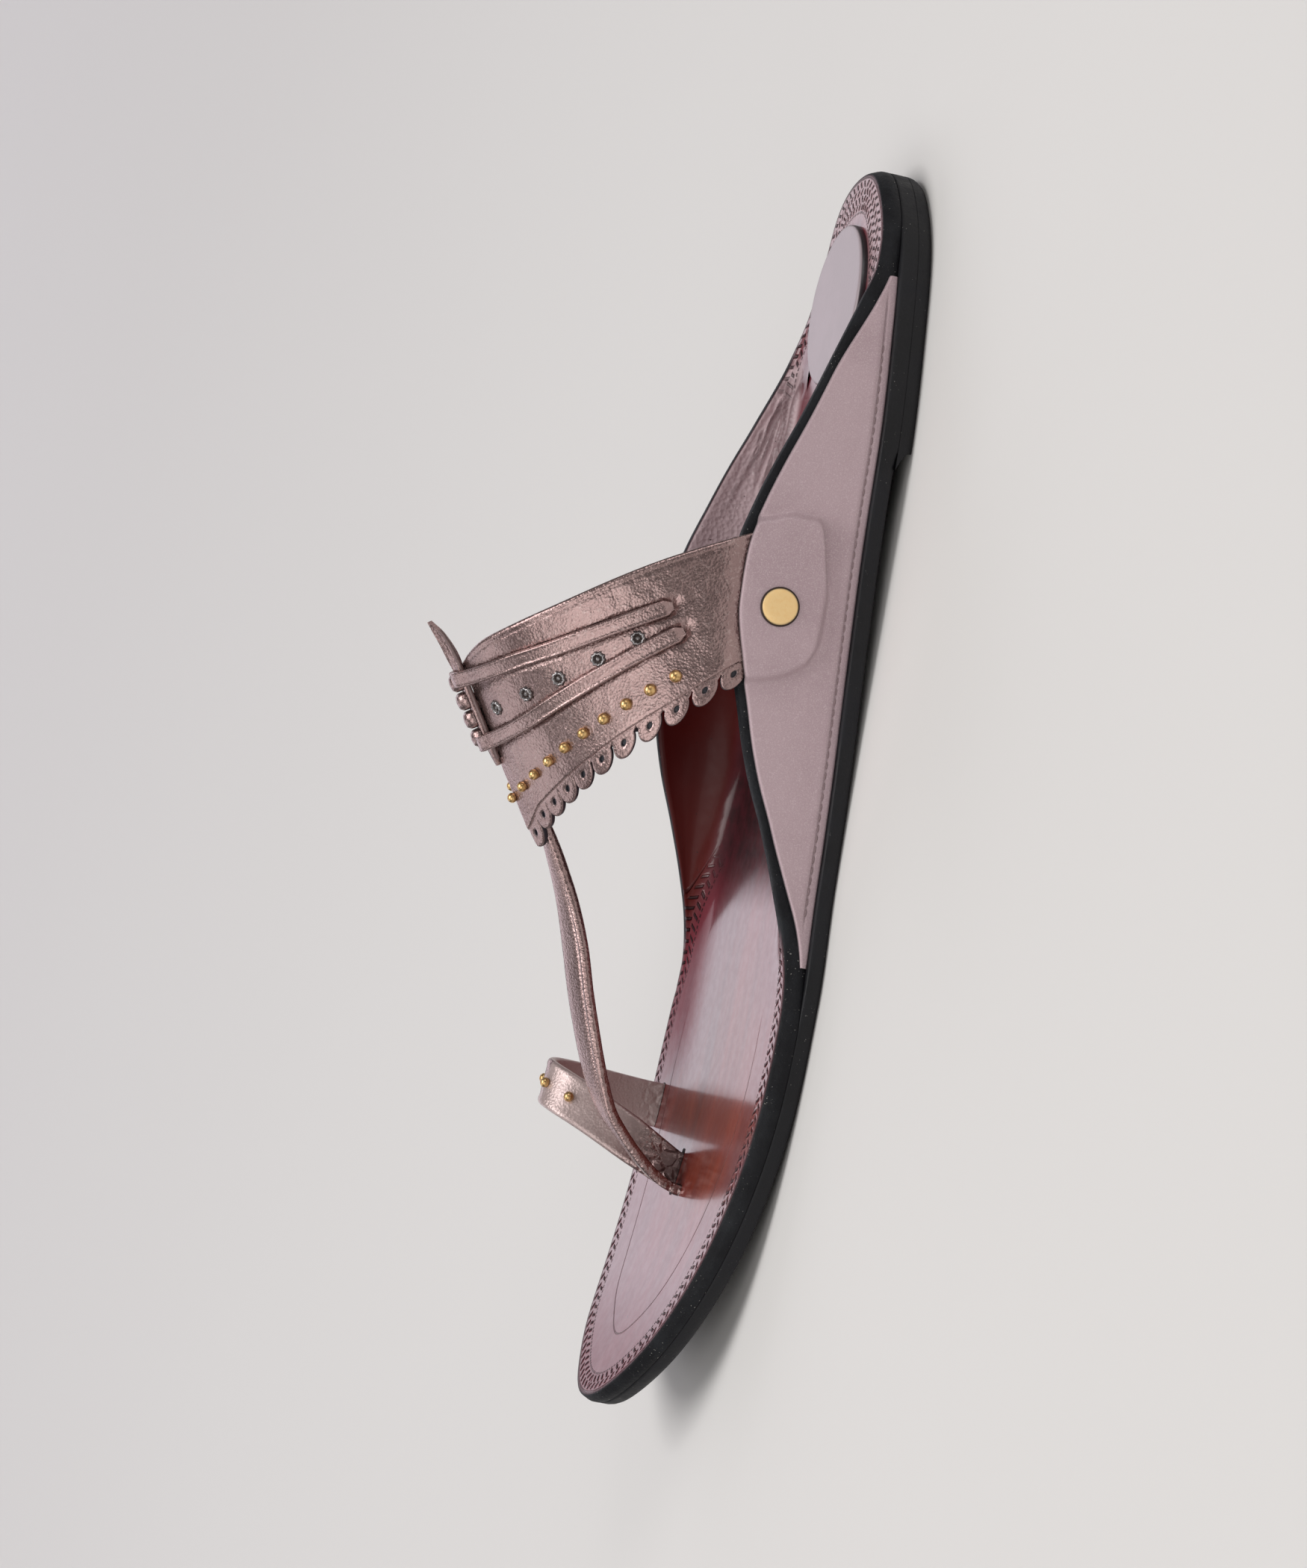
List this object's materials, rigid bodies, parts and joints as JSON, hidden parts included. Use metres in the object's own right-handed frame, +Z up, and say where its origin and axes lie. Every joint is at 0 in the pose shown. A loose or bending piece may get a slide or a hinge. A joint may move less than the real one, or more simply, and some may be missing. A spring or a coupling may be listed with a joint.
{
  "type": "toe-ring leather sandal",
  "caption": "Flat leather sandal for a left foot with raised side wings, a studded scalloped instep band, a centre strap and a toe ring.",
  "frame": {"origin": "centre of the footprint, on the floor under the sole", "axes": "+X from heel to toe, +Y towards the outer (little toe) side, +Z up"},
  "size_m": [0.254, 0.0836, 0.0822],
  "materials": {
    "sole_black": "black dyed, matt, lightly grained",
    "insole_leather": "dusky mauve, smooth and burnished",
    "heel_pad_leather": "pale mauve, soft sheen",
    "cover_leather": "satin metallic mauve",
    "strap_leather": "metallic pewter mauve, pebbled",
    "gold_metal": "polished gold colour",
    "silver_metal": "dark silver, stamped"
  },
  "bodies": {
    "root": {"band_spine": "strap_leather", "heel_lift": "sole_black", "heel_pad": "heel_pad_leather", "insole": "insole_leather", "instep_band": "strap_leather", "outsole": "sole_black", "ring_stud_1": "gold_metal", "ring_stud_2": "gold_metal", "ring_stud_3": "gold_metal", "rivet_inner": "gold_metal", "rivet_outer": "gold_metal", "rosette_inner_1": "silver_metal", "rosette_inner_2": "silver_metal", "rosette_inner_3": "silver_metal", "rosette_inner_4": "silver_metal", "rosette_inner_5": "silver_metal", "rosette_outer_1": "silver_metal", "rosette_outer_2": "silver_metal", "rosette_outer_3": "silver_metal", "rosette_outer_4": "silver_metal", "rosette_outer_5": "silver_metal", "stud_1": "gold_metal", "stud_10": "gold_metal", "stud_11": "gold_metal", "stud_12": "gold_metal", "stud_13": "gold_metal", "stud_14": "gold_metal", "stud_15": "gold_metal", "stud_16": "gold_metal", "stud_17": "gold_metal", "stud_18": "gold_metal", "stud_19": "gold_metal", "stud_2": "gold_metal", "stud_3": "gold_metal", "stud_4": "gold_metal", "stud_5": "gold_metal", "stud_6": "gold_metal", "stud_7": "gold_metal", "stud_8": "gold_metal", "stud_9": "gold_metal", "thong_front_inner": "strap_leather", "thong_front_outer": "strap_leather", "thong_rear_inner": "strap_leather", "thong_rear_outer": "strap_leather", "toe_ring": "strap_leather", "toe_strap": "strap_leather", "wing_cover_inner": "cover_leather", "wing_cover_outer": "cover_leather"}
  },
  "joints": []
}
